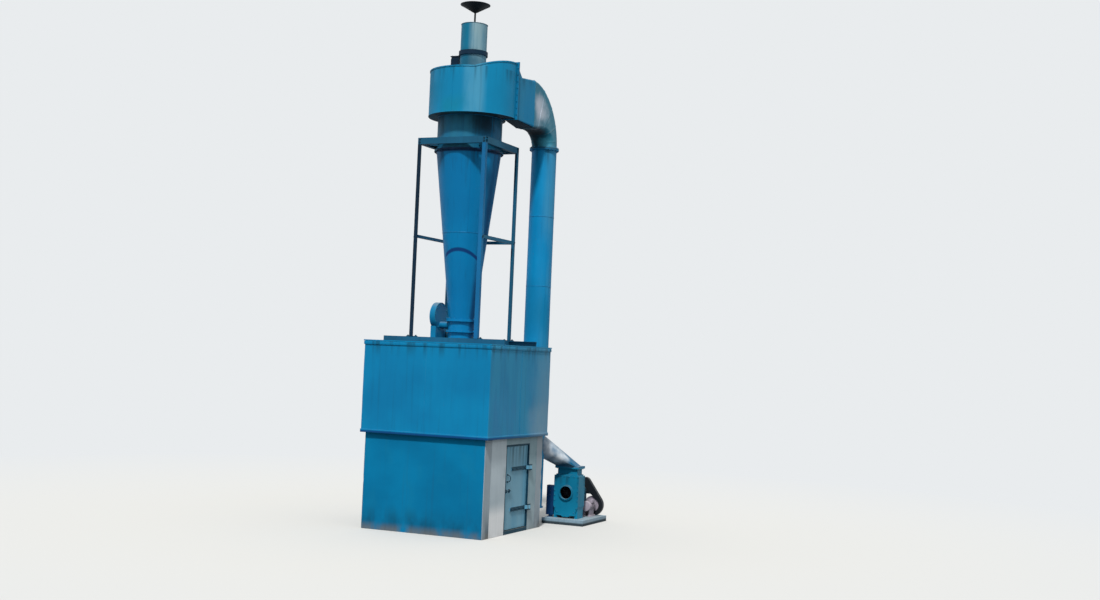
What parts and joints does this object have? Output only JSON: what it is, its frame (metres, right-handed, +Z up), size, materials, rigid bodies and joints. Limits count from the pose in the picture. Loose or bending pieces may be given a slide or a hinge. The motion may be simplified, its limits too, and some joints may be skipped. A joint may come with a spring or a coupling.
{
  "type": "cyclone dust separator",
  "caption": "Cyclone separator on an angle steel frame over a storage bin and a masonry chamber with a hinged door, fed by a riser duct from a belt driven blower.",
  "frame": {"origin": "on the ground under the cyclone axis, at the centre of the chamber plan", "axes": "+X to the right along the chamber front, +Y to the back towards the riser and blower, +Z up along the cyclone axis"},
  "size_m": [2.91, 4.07, 9.11],
  "materials": {
    "blue_paint": "weathered gloss",
    "dark_paint": "weathered satin",
    "door_paint": "faded satin",
    "black_paint": "sooty matt",
    "pale_paint": "dusty satin",
    "render_wall": "rough render",
    "blue_wall": "painted rough render",
    "belt_rubber": "matt"
  },
  "bodies": {
    "plant": {"chamber_floor": "render_wall", "chamber_front_wall": "blue_wall", "chamber_back_wall": "blue_wall", "chamber_left_wall": "blue_wall", "chamber_near_pier": "render_wall", "chamber_far_pier": "render_wall", "chamber_lintel": "render_wall", "door_frame": "dark_paint", "bin_shell": "blue_paint", "bin_floor": "dark_paint", "bin_roof": "blue_paint", "bin_chute": "dark_paint", "base_frame": "dark_paint", "leg_front_left": "dark_paint", "leg_front_right": "dark_paint", "leg_back_left": "dark_paint", "leg_back_right": "dark_paint", "mid_braces": "dark_paint", "top_frame": "dark_paint", "dust_neck": "blue_paint", "valve_guard": "door_paint", "valve_gearmotor": "dark_paint", "cone_lower": "blue_paint", "cone_upper": "blue_paint", "barrel": "blue_paint", "scroll_shell": "blue_paint", "scroll_roof": "blue_paint", "pressure_vent": "dark_paint", "outlet_stack": "blue_paint", "stack_collar": "dark_paint", "cap_stalk": "black_paint", "rain_cap": "black_paint", "inlet_transition": "blue_paint", "duct_elbow": "blue_paint", "riser_duct": "blue_paint", "connecting_duct": "blue_paint", "starter_box": "dark_paint", "fan_casing": "blue_paint", "fan_wheel": "dark_paint", "bearing_pedestal": "dark_paint", "drive_belt": "belt_rubber", "belt_guard": "black_paint", "fan_motor": "dark_paint", "fan_skid": "pale_paint"},
    "door": {"access_door": "door_paint"}
  },
  "joints": [
    {"name": "door_hinge", "type": "hinge", "parent": "plant", "child": "door", "pos_m": [1.1563, 0.612, 0], "axis": [0, 0, 1], "range_deg": [0, 110]}
  ]
}
